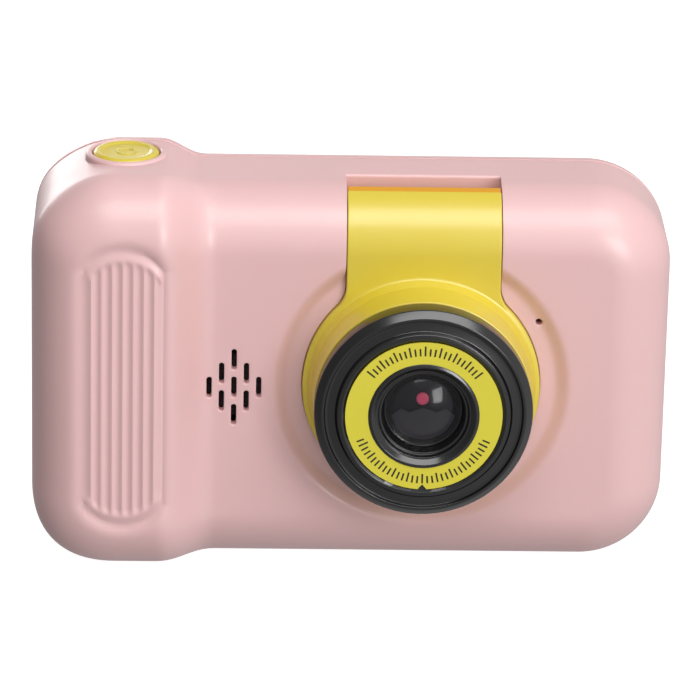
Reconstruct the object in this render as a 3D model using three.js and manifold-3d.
// Children's compact digital camera with a lens that flips over the top.
// Millimetres, +Z up. The front faces -Y and +X is to the right of someone looking at the front.
// The origin is in the middle of the flat underside, halfway through the main body.
import * as THREE from "three";
import { mergeVertices } from "three/addons/utils/BufferGeometryUtils.js";
import Module from "manifold-3d";

const wasm = await Module();
wasm.setup();

// ---------------------------------------------------------------- driving sizes
const WIDTH = 100;
const HEIGHT = 61.9;
const FRONT_Y = -13;
const BACK_Y = 13;
const CORNER_R = 13; // corner rounding seen from the front
const FRONT_ROUND = 9.5; // rounding of the front edge
const BACK_ROUND = 5.5; // rounding of the back edge
const WALL = 1.8;
const PART_Y = 7; // plane where the two shells meet
const SHELL_GAP = 0.3;

const GRIP_OUT = 5.5; // forward bulge of the grip
const GRIP_UP = 2.6; // rise of the grip's top
const GRIP_FULL_X = -31; // full bulge left of here
const GRIP_NONE_X = -20.4; // no bulge right of here
const RISE_FULL_X = -31; // the raised top ends more steeply than the bulge
const RISE_NONE_X = -22.5;
const GRIP_SQUARE_LOW = 0.048; // the grip's corners are a little squarer than the others
const GRIP_SQUARE_HIGH = 0.095;
const MID_Z = HEIGHT / 2;

const LENS_X = 11;
const LENS_Z = 31;
const DISC_R = 18.6;
const ARM_HALF = 12; // half width of the arm's straight part
const ARM_FILLET = 5;
const ARM_GAP = 0.45; // between the arm and its pocket
const ARM_BACK_Y = -6.5;
const ARM_SPLIT_Y = -8.5; // where the arm's rear cover begins
const POCKET_Y = -6.05;
const POCKET_WALL = 1.5;

const HINGE_Y = -8;
const HINGE_Z = 55.6;
const BARREL_R = 6.4;
const TROUGH_R = 7.3;
const NOTCH_BACK_Y = -1; // rear wall of the notch above the hinge

const BUTTON_X = -35.5;
const BUTTON_Y = 0.55;
const BUTTON_R = 5.15;
const BUTTON_TOP = 65;

const SPEAKER_X = -18.3;
const SPEAKER_Z = 30.6;

const SCREEN_X = 11;
const SCREEN_Z = 31;
const KEYS_X = -32;
const KEYS_Z = 31;
const SCREW_X = 42.5;
const SCREW_LOW = 8.5;
const SCREW_HIGH = 53;

// ---------------------------------------------------------------- finishes
function finish(hex, roughness, metalness = 0, extra = {}) {
  return new THREE.MeshStandardMaterial({ color: new THREE.Color(hex), roughness, metalness, ...extra });
}
const PINK = finish("#dfb8ba", 0.38);
const YELLOW = finish("#dac538", 0.4);
const LABEL = finish("#cec544", 0.55);
const BLACK = finish("#232325", 0.4);
const DARK = finish("#141416", 0.6);
const GLASS = finish("#2a2730", 0.06, 0, { transparent: true, opacity: 0.85 });
const WINDOW = finish("#0d0e11", 0.08);
const STEEL = finish("#b9bcc0", 0.3, 0.9);
const BOARD = finish("#1f6b45", 0.5);
const RUBBER = finish("#c9a0a3", 0.7);
const CELL = finish("#9aa3ad", 0.45, 0.2);
const FILM = finish("#b8762c", 0.5);
const CLOTH = finish("#2b2b2d", 0.9);

// ---------------------------------------------------------------- solids
// A closed manifold solid from any three.js geometry, turned the right way out.
function solid(geometry) {
  const bare = (geometry.index ? geometry.toNonIndexed() : geometry).clone();
  bare.deleteAttribute("normal");
  bare.deleteAttribute("uv");
  const merged = mergeVertices(bare, 1e-4);
  const source = merged.index.array;
  const tris = [];
  for (let i = 0; i < source.length; i += 3) {
    const [a, b, c] = [source[i], source[i + 1], source[i + 2]];
    if (a !== b && b !== c && a !== c) tris.push(a, b, c);
  }
  const positions = new Float32Array(merged.attributes.position.array);
  const build = (t) =>
    new wasm.Manifold(new wasm.Mesh({ numProp: 3, vertProperties: positions, triVerts: new Uint32Array(t) }));
  const made = build(tris);
  if (made.volume() > 0) return made;
  for (let i = 0; i < tris.length; i += 3) [tris[i + 1], tris[i + 2]] = [tris[i + 2], tris[i + 1]];
  return build(tris);
}

function box(x0, x1, y0, y1, z0, z1) {
  const g = new THREE.BoxGeometry(x1 - x0, y1 - y0, z1 - z0);
  g.translate((x0 + x1) / 2, (y0 + y1) / 2, (z0 + z1) / 2);
  return solid(g);
}

// A flat shape drawn in X and Z, given thickness from y0 to y1.
function plate(shape, y0, y1, curve = 10) {
  const g = new THREE.ExtrudeGeometry(shape, { depth: y1 - y0, bevelEnabled: false, curveSegments: curve });
  g.rotateX(Math.PI / 2);
  g.translate(0, y1, 0);
  return solid(g);
}

// A body of revolution about a line along Y through (x, z); the profile is a list of [radius, y].
function turned(x, z, profile, segments = 40) {
  const g = new THREE.LatheGeometry(profile.map(([r, y]) => new THREE.Vector2(r, y)), segments);
  g.translate(x, 0, z);
  return solid(g);
}

function disc(x, z, radius, y0, y1, segments = 32) {
  return turned(x, z, [[0, y0], [radius, y0], [radius, y1], [0, y1]], segments);
}

// A round bar along X.
function barX(x0, x1, y, z, radius, segments = 24) {
  const g = new THREE.CylinderGeometry(radius, radius, x1 - x0, segments);
  g.rotateZ(Math.PI / 2);
  g.translate((x0 + x1) / 2, y, z);
  return solid(g);
}

// A body of revolution about a vertical line through (x, y); the profile is a list of [radius, z].
function turnedZ(x, y, profile, segments = 32) {
  const g = new THREE.LatheGeometry(profile.map(([r, h]) => new THREE.Vector2(r, h)), segments);
  g.rotateX(Math.PI / 2);
  g.translate(x, y, 0);
  return solid(g);
}

function roundedRect(cx, cz, w, h, r) {
  const s = new THREE.Shape();
  const [a, b, c, d] = [cx - w / 2, cx + w / 2, cz - h / 2, cz + h / 2];
  s.moveTo(a + r, c);
  s.lineTo(b - r, c);
  s.absarc(b - r, c + r, r, -Math.PI / 2, 0, false);
  s.lineTo(b, d - r);
  s.absarc(b - r, d - r, r, 0, Math.PI / 2, false);
  s.lineTo(a + r, d);
  s.absarc(a + r, d - r, r, Math.PI / 2, Math.PI, false);
  s.lineTo(a, c + r);
  s.absarc(a + r, c + r, r, Math.PI, Math.PI * 1.5, false);
  return s;
}

// ---------------------------------------------------------------- outer form
// How much of the grip's bulge there is at a given x, from 0 to 1.
function gripShare(x, none = GRIP_NONE_X, full = GRIP_FULL_X) {
  const t = Math.min(1, Math.max(0, (none - x) / (none - full)));
  return t ** 3 * (t * (6 * t - 15) + 10);
}

// Pushes a point of the grip's two rounded corners outward: the lower one along its diagonal, the upper one
// sideways.
function squared(x, z) {
  const high = z > MID_Z;
  const dx = x - (CORNER_R - WIDTH / 2);
  const dz = high ? z - (HEIGHT - CORNER_R) : z - CORNER_R;
  if (dx >= 0 || dz * (z - MID_Z) <= 0) return [x, z];
  const r = Math.hypot(dx, dz);
  const bend = ((2 * dx * dz) / r ** 2) ** 2;
  if (high) return [x + dx * GRIP_SQUARE_HIGH * bend * (dx / r) ** 2, z];
  return [x + dx * GRIP_SQUARE_LOW * bend, z + dz * GRIP_SQUARE_LOW * bend];
}

// Pulls the front of the plain body forward and its top upward over the grip.
function gripped(plainX, y, plainZ) {
  const [x, z] = squared(plainX, plainZ);
  const share = gripShare(x);
  const forward = GRIP_OUT * Math.min(1, Math.max(0, (PART_Y - y) / (PART_Y - FRONT_Y - FRONT_ROUND)));
  const upward = z > MID_Z ? (GRIP_UP * (z - MID_Z)) / (HEIGHT - MID_Z) : 0;
  return [x, y - share * forward, z + gripShare(x, RISE_NONE_X, RISE_FULL_X) * upward];
}

// Points round the body's outline, each with the centre its rounding grows from and its outward direction.
const GRIP_STEPS = 6;
const CORNER_STEPS = 7;
function columns() {
  const xs = [-WIDTH / 2 + CORNER_R];
  for (let i = 0; i <= GRIP_STEPS; i++) xs.push(GRIP_FULL_X + ((GRIP_NONE_X - GRIP_FULL_X) * i) / GRIP_STEPS);
  xs.push(WIDTH / 2 - CORNER_R);
  return xs;
}
const ROWS = [CORNER_R, MID_Z, HEIGHT - CORNER_R];

function outline() {
  const xs = columns();
  const points = [];
  const corner = (cx, cz, from) => {
    for (let i = 1; i < CORNER_STEPS; i++) {
      const a = from + (Math.PI / 2) * (i / CORNER_STEPS);
      points.push({ cx, cz, nx: Math.cos(a), nz: Math.sin(a) });
    }
  };
  const [left, right] = [xs[0], xs[xs.length - 1]];
  const [low, high] = [ROWS[0], ROWS[ROWS.length - 1]];
  xs.forEach((x) => points.push({ cx: x, cz: low, nx: 0, nz: -1 }));
  corner(right, low, -Math.PI / 2);
  ROWS.forEach((z) => points.push({ cx: right, cz: z, nx: 1, nz: 0 }));
  corner(right, high, 0);
  [...xs].reverse().forEach((x) => points.push({ cx: x, cz: high, nx: 0, nz: 1 }));
  corner(left, high, Math.PI / 2);
  [...ROWS].reverse().forEach((z) => points.push({ cx: left, cz: z, nx: -1, nz: 0 }));
  corner(left, low, Math.PI);
  return points;
}

// Sweeps a profile of [inset, y] pairs round the outline and closes both ends with a flat grid.
function swept(profile) {
  const ring = outline();
  const xs = columns();
  const corners = [];
  const put = (x, y, z) => corners.push(...gripped(x, y, z));
  const at = (p, [inset, y]) => [p.cx + p.nx * (CORNER_R - inset), y, p.cz + p.nz * (CORNER_R - inset)];
  const quad = (a, b, c, d) => [a, b, c, a, c, d].forEach((p) => put(...p));
  ring.forEach((p, i) => {
    const q = ring[(i + 1) % ring.length];
    for (let k = 0; k + 1 < profile.length; k++)
      quad(at(p, profile[k]), at(q, profile[k]), at(q, profile[k + 1]), at(p, profile[k + 1]));
  });
  const cap = (y, flip) => {
    for (let i = 0; i + 1 < xs.length; i++)
      for (let j = 0; j + 1 < ROWS.length; j++) {
        const cell = [
          [xs[i], y, ROWS[j]],
          [xs[i], y, ROWS[j + 1]],
          [xs[i + 1], y, ROWS[j + 1]],
          [xs[i + 1], y, ROWS[j]],
        ];
        if (flip) cell.reverse();
        quad(...cell);
      }
  };
  cap(profile[0][1], false);
  cap(profile[profile.length - 1][1], true);
  const g = new THREE.BufferGeometry();
  g.setAttribute("position", new THREE.Float32BufferAttribute(corners, 3));
  return solid(g);
}

const ROUND_STEPS = 6;
// The rounded front edge, from the middle of the front out to the side; grow makes it larger all round.
function frontEdge(grow) {
  const points = [[CORNER_R, FRONT_Y - grow]];
  const r = FRONT_ROUND + grow;
  for (let i = 0; i <= ROUND_STEPS; i++) {
    const a = ((Math.PI / 2) * i) / ROUND_STEPS;
    points.push([FRONT_ROUND - r * Math.sin(a), FRONT_Y + FRONT_ROUND - r * Math.cos(a)]);
  }
  return points;
}
function backEdge(grow) {
  const points = [];
  const r = BACK_ROUND + grow;
  const steps = 4;
  for (let i = 0; i <= steps; i++) {
    const a = ((Math.PI / 2) * i) / steps;
    points.push([BACK_ROUND - r * Math.cos(a), BACK_Y - BACK_ROUND + r * Math.sin(a)]);
  }
  points.push([CORNER_R, BACK_Y + grow]);
  return points;
}

const wholeBody = swept([...frontEdge(0), ...backEdge(0)]);
const proudBody = swept([...frontEdge(0.5), ...backEdge(0.5)]);

function frontCup() {
  const outer = frontEdge(0);
  const inner = frontEdge(-WALL).reverse();
  return swept([...outer, [0, PART_Y], [WALL, PART_Y], ...inner]);
}
function rearCup() {
  const outer = backEdge(0).reverse();
  const inner = backEdge(-WALL);
  const rim = PART_Y + SHELL_GAP;
  return swept([...outer, [0, rim], [WALL, rim], ...inner]);
}

// ---------------------------------------------------------------- flip arm outline
// Straight sides, a hollow fillet each side and a round disc; grow offsets the outline outward.
function armShape(grow, top) {
  const s = new THREE.Shape();
  const side = ARM_HALF + ARM_FILLET;
  const rise = Math.sqrt((DISC_R + ARM_FILLET) ** 2 - side ** 2);
  const neck = LENS_Z + rise;
  const reach = Math.atan2(rise, side);
  const fillet = ARM_FILLET - grow;
  s.moveTo(LENS_X - ARM_HALF - grow, top);
  s.lineTo(LENS_X - ARM_HALF - grow, neck);
  s.absarc(LENS_X - side, neck, fillet, 0, -reach, true);
  s.absarc(LENS_X, LENS_Z, DISC_R + grow, Math.PI - reach, reach, false);
  s.absarc(LENS_X + side, neck, fillet, Math.PI + reach, Math.PI, true);
  s.lineTo(LENS_X + ARM_HALF + grow, top);
  s.closePath();
  return s;
}

// ---------------------------------------------------------------- front shell
const PAD_X = -35.6;
const PAD_LOW = 8.9;
const PAD_HIGH = 55;
const RIB_COUNT = 7;
const RIB_PITCH = 1.63;
const RIB_WIDTH = 1.0;
const DISH_R = 23.4;
const DISH_FLOOR_R = 20.8;
const DISH_DEPTH = 1.3;
const SLOT_PITCH = 1.94;
const SLOT_STEP = 4.6;
const SLOT_LONG = 3.5;
const SLOT_WIDE = 0.85;

function gripRibs() {
  const middle = (PAD_LOW + PAD_HIGH) / 2;
  let ribs = null;
  for (let i = 0; i < RIB_COUNT; i++) {
    const offset = (i - (RIB_COUNT - 1) / 2) * RIB_PITCH;
    const endCurve = 6.6 - Math.sqrt(6.6 ** 2 - offset ** 2);
    const half = (PAD_HIGH - PAD_LOW) / 2 - 1.2 - endCurve;
    const bar = plate(roundedRect(PAD_X + offset, middle, RIB_WIDTH, half * 2, 0.49), -25, -15, 3);
    ribs = ribs ? ribs.add(bar) : bar;
  }
  return ribs.intersect(proudBody);
}

function speakerSlots() {
  let slots = null;
  for (let column = -2; column <= 2; column++) {
    const count = 3 - Math.abs(column);
    for (let i = 0; i < count; i++) {
      const z = SPEAKER_Z + (i - (count - 1) / 2) * SLOT_STEP;
      const x = SPEAKER_X + column * SLOT_PITCH;
      const slot = plate(roundedRect(x, z, SLOT_WIDE, SLOT_LONG, SLOT_WIDE / 2 - 0.01), -20, -10, 4);
      slots = slots ? slots.add(slot) : slot;
    }
  }
  return slots;
}

const MIC_X = 29.2;
const MIC_Z = 41.6;
const PORT_Y0 = -2.6;
const PORT_Y1 = 6;
const PORT_Z0 = 19;
const PORT_Z1 = 43;
const PORT_DEPTH = 1.5;
const SIDE_X = WIDTH / 2;

function frontShell() {
  const left = LENS_X - ARM_HALF - ARM_GAP;
  const right = LENS_X + ARM_HALF + ARM_GAP;
  const wall = POCKET_WALL;
  // material behind the dish, round the arm's pocket and round the hinge trough
  let body = frontCup();
  body = body.add(disc(LENS_X, LENS_Z, DISH_R - 0.1, FRONT_Y + 0.5, FRONT_Y + 3.3, 48));
  const pan = plate(armShape(ARM_GAP + wall, HEIGHT), FRONT_Y + 0.5, POCKET_Y + wall, 14);
  const trough = barX(left - wall, right + wall, HINGE_Y, HINGE_Z, TROUGH_R + wall, 40);
  const troughTop = box(left - wall, right + wall, HINGE_Y, NOTCH_BACK_Y + wall, HINGE_Z, HEIGHT + 5);
  const leftBoss = barX(left - 5, left, HINGE_Y, HINGE_Z, 4.2, 20);
  const rightBoss = barX(right, right + 5, HINGE_Y, HINGE_Z, 4.2, 20);
  const inside = [pan, trough, troughTop, leftBoss, rightBoss].reduce((a, b) => a.add(b));
  body = body.add(inside.intersect(wholeBody));
  // screw bosses
  for (const x of [-SCREW_X, SCREW_X])
    for (const z of [SCREW_LOW, SCREW_HIGH]) {
      const root = x < 0 ? -16 : -11.6;
      body = body.add(disc(x, z, 2.7, root, PART_Y - 0.5, 16).intersect(wholeBody));
      body = body.subtract(disc(x, z, 1.3, -2, PART_Y + 1, 12));
    }
  // thick wall behind the socket cover
  body = body.add(box(SIDE_X - 4, SIDE_X - 1, PORT_Y0 - 1.5, PART_Y - 0.2, PORT_Z0 - 1.5, PORT_Z1 + 1.5));
  // ribbed grip pad
  body = body.add(gripRibs());
  // pocket, trough and dish
  body = body.subtract(plate(armShape(ARM_GAP, HEIGHT + 5), -20, POCKET_Y, 14));
  body = body.subtract(barX(left, right, HINGE_Y, HINGE_Z, TROUGH_R, 40));
  body = body.subtract(box(left, right, HINGE_Y, NOTCH_BACK_Y, HINGE_Z, HEIGHT + 5));
  const dish = [
    [0, FRONT_Y - 2],
    [DISH_R + 0.4, FRONT_Y - 2],
    [DISH_R + 0.4, FRONT_Y - 0.05],
    [DISH_R - 0.7, FRONT_Y + 0.35],
    [DISH_FLOOR_R + 0.7, FRONT_Y + DISH_DEPTH - 0.35],
    [DISH_FLOOR_R, FRONT_Y + DISH_DEPTH],
    [0, FRONT_Y + DISH_DEPTH],
  ];
  body = body.subtract(turned(LENS_X, LENS_Z, dish, 56));
  // bores for the hinge pin and the hollow bush
  body = body.subtract(barX(left - 4, left + 1, HINGE_Y, HINGE_Z, 2.1, 20));
  body = body.subtract(barX(right - 1, right + 6, HINGE_Y, HINGE_Z, 2.8, 20));
  // sound slots, microphone hole and shutter hole
  body = body.subtract(speakerSlots());
  body = body.subtract(disc(MIC_X, MIC_Z, 0.55, -20, -4, 10));
  const buttonHole = [[0, 60], [BUTTON_R + 0.35, 60], [BUTTON_R + 0.35, 67], [0, 67]];
  body = body.subtract(turnedZ(BUTTON_X, BUTTON_Y, buttonHole));
  // recess and openings at the side
  body = body.subtract(box(SIDE_X - PORT_DEPTH, SIDE_X + 2, PORT_Y0, PORT_Y1, PORT_Z0, PORT_Z1));
  body = body.subtract(box(SIDE_X - 6, SIDE_X, -0.2, 3.4, 33, 42));
  body = body.subtract(box(SIDE_X - 6, SIDE_X, 0.4, 2.9, 20, 31.6));
  return body;
}

// ---------------------------------------------------------------- rear shell
const KEY_GAP = 0.3;
const WINDOW_W = 57;
const WINDOW_H = 45;
// Every key on the back: name, centre, width, height and corner rounding.
const ARROW = 7.4;
const KEYS = [
  ["key_ok", KEYS_X, KEYS_Z, 6.6, 6.6, 3.29],
  ["key_up", KEYS_X, KEYS_Z + ARROW, 6.4, 4.2, 1.6],
  ["key_down", KEYS_X, KEYS_Z - ARROW, 6.4, 4.2, 1.6],
  ["key_left", KEYS_X - ARROW, KEYS_Z, 4.2, 6.4, 1.6],
  ["key_right", KEYS_X + ARROW, KEYS_Z, 4.2, 6.4, 1.6],
  ["key_power", KEYS_X - 5.4, KEYS_Z + 16.6, 5.6, 5.6, 2.79],
  ["key_menu", KEYS_X + 5.4, KEYS_Z + 16.6, 5.6, 5.6, 2.79],
  ["key_play", KEYS_X - 5.4, KEYS_Z - 16.6, 5.6, 5.6, 2.79],
  ["key_delete", KEYS_X + 5.4, KEYS_Z - 16.6, 5.6, 5.6, 2.79],
];
const LIGHT_X = KEYS_X;
const LIGHT_Z = KEYS_Z + 23.4;

function rearShell() {
  let body = rearCup();
  for (const x of [-SCREW_X, SCREW_X])
    for (const z of [SCREW_LOW, SCREW_HIGH]) {
      body = body.add(disc(x, z, 3.3, PART_Y + 0.6, BACK_Y - 1, 16).intersect(wholeBody));
      body = body.subtract(disc(x, z, 1.3, 0, BACK_Y + 2, 12));
      body = body.subtract(disc(x, z, 2.4, BACK_Y - 2.8, BACK_Y + 2, 16));
    }
  const windowSeat = roundedRect(SCREEN_X, SCREEN_Z, WINDOW_W + 0.6, WINDOW_H + 0.6, 3.2);
  body = body.subtract(plate(windowSeat, BACK_Y - 0.95, 16, 4));
  body = body.subtract(plate(roundedRect(SCREEN_X, SCREEN_Z, 54, 41, 1.5), 9, 16, 3));
  for (const [, x, z, w, h, r] of KEYS) {
    const grow = 2 * KEY_GAP;
    body = body.subtract(plate(roundedRect(x, z, w + grow, h + grow, r + KEY_GAP), 9, 16, 4));
  }
  body = body.subtract(disc(LIGHT_X, LIGHT_Z, 0.95, 9, 16, 12));
  return body;
}

function keyCap([, x, z, w, h, r]) {
  const cap = plate(roundedRect(x, z, w, h, r), 10.2, BACK_Y + 0.6, 4);
  const crown = plate(roundedRect(x, z, w - 0.7, h - 0.7, r - 0.34), BACK_Y + 0.5, BACK_Y + 0.85, 4);
  const flange = plate(roundedRect(x, z, w + 1.4, h + 1.4, r), 9.9, 10.8, 1);
  return cap.add(crown).add(flange);
}

// ---------------------------------------------------------------- flip arm and lens
const BOSS_R = 17.2;
const BOSS_Y = -20.4;
const BEZEL_R = 16.9;
const BEZEL_Y = -24.75;
const LABEL_Y = -25.5;
const ARM_FLOOR_Y = -11.5; // floor that carries the sensor board
const ARM_SCREWS = [-13.4, 13.4];

function armHousing() {
  const slab = plate(armShape(0, HEIGHT), FRONT_Y, ARM_SPLIT_Y, 14);
  const barrel = barX(LENS_X - ARM_HALF, LENS_X + ARM_HALF, HINGE_Y, HINGE_Z, BARREL_R, 40);
  let arm = slab.add(barrel).intersect(wholeBody);
  const boss = [
    [0, -12],
    [BOSS_R + 1.1, -12],
    [BOSS_R + 1.1, FRONT_Y],
    [BOSS_R + 0.35, FRONT_Y - 0.35],
    [BOSS_R + 0.05, FRONT_Y - 1.2],
    [BOSS_R - 0.3, BOSS_Y],
    [0, BOSS_Y],
  ];
  arm = arm.add(turned(LENS_X, LENS_Z, boss, 56));
  // hollow for the lens and the sensor board, and the cable's way up to the hinge
  arm = arm.subtract(disc(LENS_X, LENS_Z, 15.4, BOSS_Y - 1, ARM_FLOOR_Y - 2.6, 40));
  arm = arm.subtract(disc(LENS_X, LENS_Z, 7, BOSS_Y, -10, 32));
  arm = arm.subtract(disc(LENS_X, LENS_Z, 15.6, ARM_FLOOR_Y, ARM_SPLIT_Y + 1, 40));
  arm = arm.subtract(box(LENS_X - 5, LENS_X + 5, -11.4, ARM_SPLIT_Y + 1, 40, 50.5));
  // pillars for the screws that hold the rear cover
  for (const x of ARM_SCREWS) {
    arm = arm.add(disc(LENS_X + x, LENS_Z, 1.7, ARM_FLOOR_Y - 0.5, ARM_SPLIT_Y, 14));
    arm = arm.subtract(disc(LENS_X + x, LENS_Z, 0.8, ARM_FLOOR_Y - 2, ARM_SPLIT_Y + 1, 12));
  }
  // bores for the hinge pin and the bush
  arm = arm.subtract(barX(LENS_X - 14, LENS_X - 6, HINGE_Y, HINGE_Z, 2.15, 20));
  arm = arm.subtract(barX(LENS_X + 5, LENS_X + 14, HINGE_Y, HINGE_Z, 2.85, 20));
  return arm;
}

const COVER_TOP = 48.6;
function armCover() {
  let cover = plate(armShape(-0.1, COVER_TOP), ARM_SPLIT_Y + 0.15, ARM_BACK_Y, 14);
  for (const x of ARM_SCREWS) {
    cover = cover.subtract(disc(LENS_X + x, LENS_Z, 0.8, -9, -6, 12));
    cover = cover.subtract(disc(LENS_X + x, LENS_Z, 1.5, ARM_BACK_Y - 0.9, -6, 14));
  }
  return cover;
}

function lensBezel() {
  const profile = [
    [8.75, -21],
    [15.1, -19.2],
    [15.1, BOSS_Y - 0.25],
    [BEZEL_R - 0.1, BOSS_Y - 0.25],
    [BEZEL_R, BOSS_Y - 0.5],
    [BEZEL_R, BEZEL_Y + 0.5],
    [BEZEL_R - 0.35, BEZEL_Y + 0.1],
    [15.7, BEZEL_Y - 0.5],
    [15.4, BEZEL_Y - 0.25],
    [15.1, BEZEL_Y - 0.5],
    [14.0, BEZEL_Y - 0.6],
    [13.7, BEZEL_Y - 0.3],
    [13.4, BEZEL_Y - 0.7],
    [12.7, BEZEL_Y - 0.8],
    [12.3, BEZEL_Y - 0.25],
    [8.75, BEZEL_Y - 0.25],
    [8.75, -21],
  ];
  return turned(LENS_X, LENS_Z, profile, 48);
}

// The printed ring, with a small three-cornered notch in its outer edge at the bottom.
function labelRing() {
  const section = [[8.6, LABEL_Y], [12.15, LABEL_Y], [12.15, -25.15], [8.6, -25.15], [8.6, LABEL_Y]];
  const ring = turned(LENS_X, LENS_Z, section, 48);
  const notch = new THREE.Shape();
  notch.moveTo(LENS_X - 1.3, LENS_Z - 13);
  notch.lineTo(LENS_X + 1.3, LENS_Z - 13);
  notch.lineTo(LENS_X, LENS_Z - 11.3);
  return ring.subtract(plate(notch, -27, -24));
}

function lensCone() {
  const profile = [
    [5.0, -21.3],
    [8.35, -21.3],
    [8.35, LABEL_Y + 0.05],
    [8.1, LABEL_Y - 0.1],
    [7.3, LABEL_Y + 0.5],
    [7.1, LABEL_Y + 0.75],
    [6.1, LABEL_Y + 1.3],
    [5.9, LABEL_Y + 3.1],
    [5.0, LABEL_Y + 3.1],
    [5.0, -21.3],
  ];
  return turned(LENS_X, LENS_Z, profile, 40);
}

function lensGlass() {
  const profile = [[0, -22.55]];
  profile.push([5.5, -22.55]);
  const steps = 5;
  for (let i = 0; i <= steps; i++) {
    const r = 5.5 * (1 - i / steps);
    profile.push([r, -22.95 - 1.0 * (1 - (r / 5.5) ** 2)]);
  }
  return turned(LENS_X, LENS_Z, profile, 32);
}

// ---------------------------------------------------------------- the pieces
const camera = new THREE.Group();
camera.name = "kids_camera";

// Adds one named piece to the camera from its solid.
function piece(name, shape, material) {
  const mesh = shape.getMesh();
  const count = mesh.numVert;
  const positions = new Float32Array(count * 3);
  for (let i = 0; i < count; i++)
    positions.set(mesh.vertProperties.subarray(i * mesh.numProp, i * mesh.numProp + 3), i * 3);
  const indexed = new THREE.BufferGeometry();
  indexed.setAttribute("position", new THREE.BufferAttribute(positions, 3));
  indexed.setIndex(new THREE.BufferAttribute(new Uint32Array(mesh.triVerts), 1));
  const flat = indexed.toNonIndexed();
  flat.computeVertexNormals();
  const made = new THREE.Mesh(flat, material);
  made.name = name;
  camera.add(made);
}

// body
piece("front_shell", frontShell(), PINK);
piece("rear_shell", rearShell(), PINK);

// flip arm
piece("flip_arm", armHousing(), YELLOW);
piece("arm_cover", armCover(), YELLOW);
piece("lens_bezel", lensBezel(), BLACK);
piece("lens_label_ring", labelRing(), LABEL);
piece("lens_cone", lensCone(), DARK);
piece("lens_glass", lensGlass(), GLASS);
piece("lens_barrel", disc(LENS_X, LENS_Z, 6.6, -20.9, -10.4, 28), DARK);
piece("sensor_board", box(LENS_X - 9, LENS_X + 9, -10.1, -9.1, LENS_Z - 9, LENS_Z + 9), BOARD);
piece("sensor_cable", box(LENS_X - 4, LENS_X + 4, -9.9, -9.6, LENS_Z + 9.2, 49.5), FILM);
ARM_SCREWS.forEach((x, i) => {
  const profile = [
    [0, ARM_FLOOR_Y - 1.5],
    [0.6, ARM_FLOOR_Y - 1.5],
    [0.6, ARM_BACK_Y - 0.75],
    [1.25, ARM_BACK_Y - 0.75],
    [1.25, ARM_BACK_Y - 0.1],
    [0, ARM_BACK_Y - 0.1],
  ];
  piece("arm_screw_" + (i + 1), turned(LENS_X + x, LENS_Z, profile, 12), STEEL);
});

// hinge
const barrelLeft = LENS_X - ARM_HALF;
const barrelRight = LENS_X + ARM_HALF;
piece("hinge_pin", barX(barrelLeft - 4.2, barrelLeft + 5.5, HINGE_Y, HINGE_Z, 2.04, 20), STEEL);
const bushOuter = barX(barrelRight - 6.4, barrelRight + 5.4, HINGE_Y, HINGE_Z, 2.73, 20);
const bushBore = barX(barrelRight - 8, barrelRight + 8, HINGE_Y, HINGE_Z, 1.7, 16);
piece("hinge_bush", bushOuter.subtract(bushBore), DARK);
const washer = barX(barrelLeft - 0.35, barrelLeft - 0.1, HINGE_Y, HINGE_Z, 3.6, 24);
const washerBore = barX(barrelLeft - 1, barrelLeft + 1, HINGE_Y, HINGE_Z, 2.1, 20);
piece("friction_washer", washer.subtract(washerBore), DARK);

// shutter button
const buttonProfile = [
  [0, 57.8],
  [1.6, 57.8],
  [1.6, 60.1],
  [5.8, 60.1],
  [5.8, 61],
  [BUTTON_R, 61],
  [BUTTON_R, BUTTON_TOP - 0.9],
  [BUTTON_R - 0.5, BUTTON_TOP - 0.45],
  [3.6, BUTTON_TOP - 0.1],
  [0, BUTTON_TOP],
];
piece("shutter_button", turnedZ(BUTTON_X, BUTTON_Y, buttonProfile, 36), YELLOW);
const switchBody = box(BUTTON_X - 3, BUTTON_X + 3, BUTTON_Y - 3, BUTTON_Y + 3, 52.5, 55.7);
const plunger = turnedZ(BUTTON_X, BUTTON_Y, [[0, 55.5], [1.7, 55.5], [1.7, 56.6], [0, 56.6]], 16);
piece("shutter_switch", switchBody.add(plunger), DARK);
piece("shutter_board", box(BUTTON_X - 3.8, BUTTON_X + 5.5, BUTTON_Y - 4, BUTTON_Y + 2.6, 51.2, 52.2), BOARD);

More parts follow.
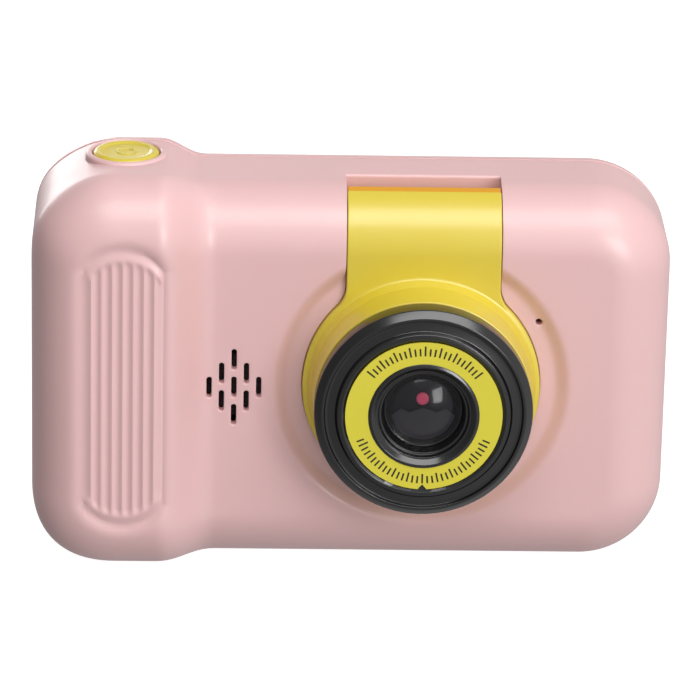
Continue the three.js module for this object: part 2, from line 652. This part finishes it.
// back
const windowOutline = roundedRect(SCREEN_X, SCREEN_Z, WINDOW_W, WINDOW_H, 3);
piece("screen_window", plate(windowOutline, BACK_Y - 0.75, BACK_Y - 0.05, 4), WINDOW);
piece("screen_module", box(SCREEN_X - 29, SCREEN_X + 26, 8.2, 10.9, SCREEN_Z - 22, SCREEN_Z + 22), CELL);
for (const key of KEYS) piece(key[0], keyCap(key), key[0] === "key_ok" ? PINK : YELLOW);
let mat = plate(roundedRect(KEYS_X, KEYS_Z, 20.5, 36.6, 3), 8.2, 8.6, 3);
for (const [, x, z] of KEYS) mat = mat.add(disc(x, z, 1.6, 8.5, 9.2, 8));
piece("key_mat", mat, RUBBER);
piece("key_board", plate(roundedRect(KEYS_X, KEYS_Z, 21, 36.8, 2), 7.0, 7.9, 2), BOARD);
piece("status_light", disc(LIGHT_X, LIGHT_Z, 0.7, 10, BACK_Y - 0.05, 12), CLOTH);

// inside
piece("main_board", box(-38, 38, 3.9, 5.1, 6, 56), BOARD);
piece("battery", plate(roundedRect(6, 27, 40, 34, 2), -4.2, 1.6, 3), CELL);
piece("speaker", disc(-20.6, SPEAKER_Z, 6.2, -10.2, -6.2, 28), DARK);
piece("speaker_mesh", disc(SPEAKER_X, SPEAKER_Z, 4.9, -10.9, -10.5, 24), CLOTH);
piece("microphone", disc(MIC_X, MIC_Z, 2, -4.2, -2.4, 16), STEEL);
piece("usb_socket", box(32, 45.6, 0, 3.3, 33.2, 41.8), STEEL);
piece("card_socket", box(30, 45.6, 0.6, 3.3, 20.2, 31.4), STEEL);

// side cover over the sockets: a flat rubber flap with two short plugs
const flapInner = SIDE_X - PORT_DEPTH + 0.3;
const flapOuter = box(flapInner, SIDE_X, PORT_Y0 + 0.3, PORT_Y1 - 0.3, PORT_Z0 + 0.3, PORT_Z1 - 0.3);
const flap = flapOuter
  .add(box(SIDE_X - 2.3, SIDE_X - 1, 0.4, 2.8, 33.6, 41.4))
  .add(box(SIDE_X - 2.3, SIDE_X - 1, 1.0, 2.3, 20.6, 31));
piece("port_cover", flap, RUBBER);

// case screws, driven in from the back
let screwNumber = 0;
for (const x of [-SCREW_X, SCREW_X])
  for (const z of [SCREW_LOW, SCREW_HIGH]) {
    screwNumber += 1;
    const profile = [
      [0, -1],
      [1.05, -1],
      [1.05, BACK_Y - 2.6],
      [2.1, BACK_Y - 2.6],
      [2.1, BACK_Y - 1.4],
      [0, BACK_Y - 1.4],
    ];
    piece("case_screw_" + screwNumber, turned(x, z, profile, 14), STEEL);
  }

export default camera;
